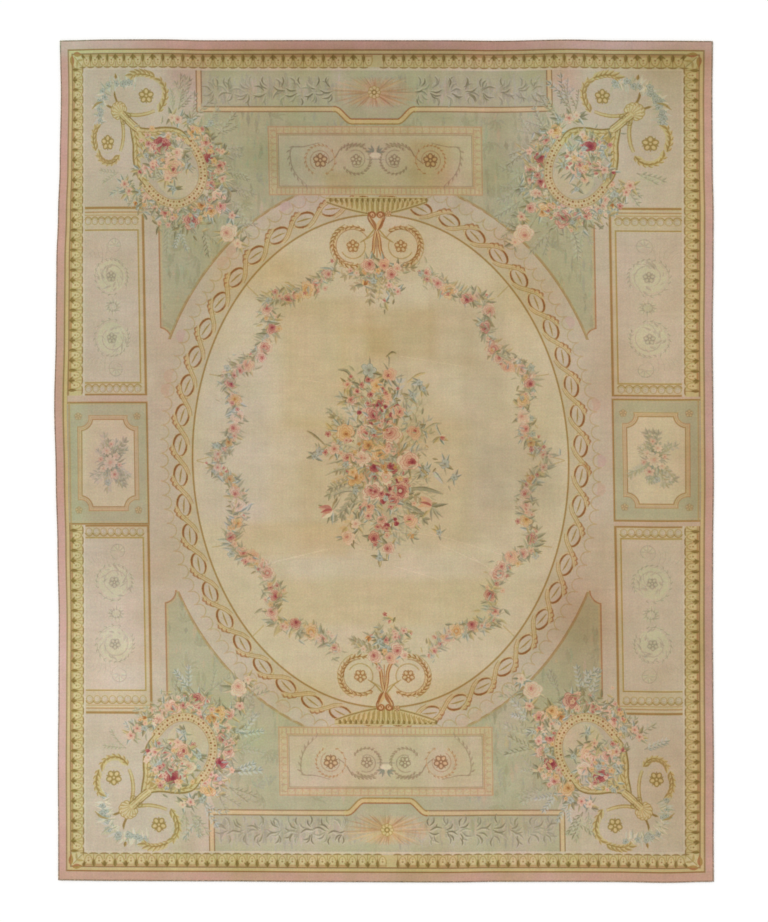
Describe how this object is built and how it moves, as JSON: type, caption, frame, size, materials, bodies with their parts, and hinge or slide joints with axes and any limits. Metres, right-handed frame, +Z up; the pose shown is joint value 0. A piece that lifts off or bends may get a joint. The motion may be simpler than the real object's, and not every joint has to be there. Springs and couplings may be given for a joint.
{
  "type": "savonnerie rug",
  "caption": "Large flat knotted wool rug with a floral bouquet in an oval medallion, garlands, scrolled corners, framed panels and a leaf border.",
  "frame": {"origin": "on the floor under the middle of the rug", "axes": "+Y along the rug's length, +X across it, +Z up out of the pile"},
  "size_m": [3.525, 4.5058, 0.0105],
  "materials": {
    "wool_pile": "worn knotted wool pile, matt",
    "edge_wool": "wrapped wool yarn, matt"
  },
  "bodies": {
    "root": {"rug": "wool_pile", "edge_wrap_left": "edge_wool", "edge_wrap_right": "edge_wool", "edge_wrap_top": "edge_wool", "edge_wrap_bottom": "edge_wool"}
  },
  "joints": []
}
